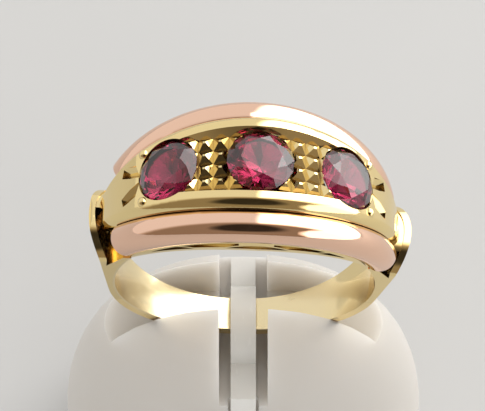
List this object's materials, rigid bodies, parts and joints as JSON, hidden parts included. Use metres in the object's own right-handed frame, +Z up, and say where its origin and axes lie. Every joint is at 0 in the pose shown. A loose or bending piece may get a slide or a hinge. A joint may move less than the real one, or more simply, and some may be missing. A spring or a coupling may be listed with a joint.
{
  "type": "tourmaline ring on display stand",
  "caption": "Gold ring with round pink tourmalines set in a row between rose gold rails, with pierced sides, upright in the slot of a frosted dome stand.",
  "frame": {"origin": "centre of the stand's oval base, at table level", "axes": "+Z up, +X along the row of stones towards its right end seen from the front, -Y towards the front"},
  "size_m": [0.0274, 0.018, 0.0409],
  "materials": {
    "yellow_gold": "polished, lightly worn",
    "rose_gold": "polished",
    "tourmaline": "polished facets",
    "frosted_plastic": "frosted",
    "clear_plastic": "clear, glossy"
  },
  "bodies": {
    "root": {"gold_setting": "yellow_gold", "rail_front": "rose_gold", "rail_back": "rose_gold", "stone_left": "tourmaline", "stone_centre": "tourmaline", "stone_right": "tourmaline", "stand_dome": "frosted_plastic", "stand_strip": "clear_plastic"}
  },
  "joints": []
}
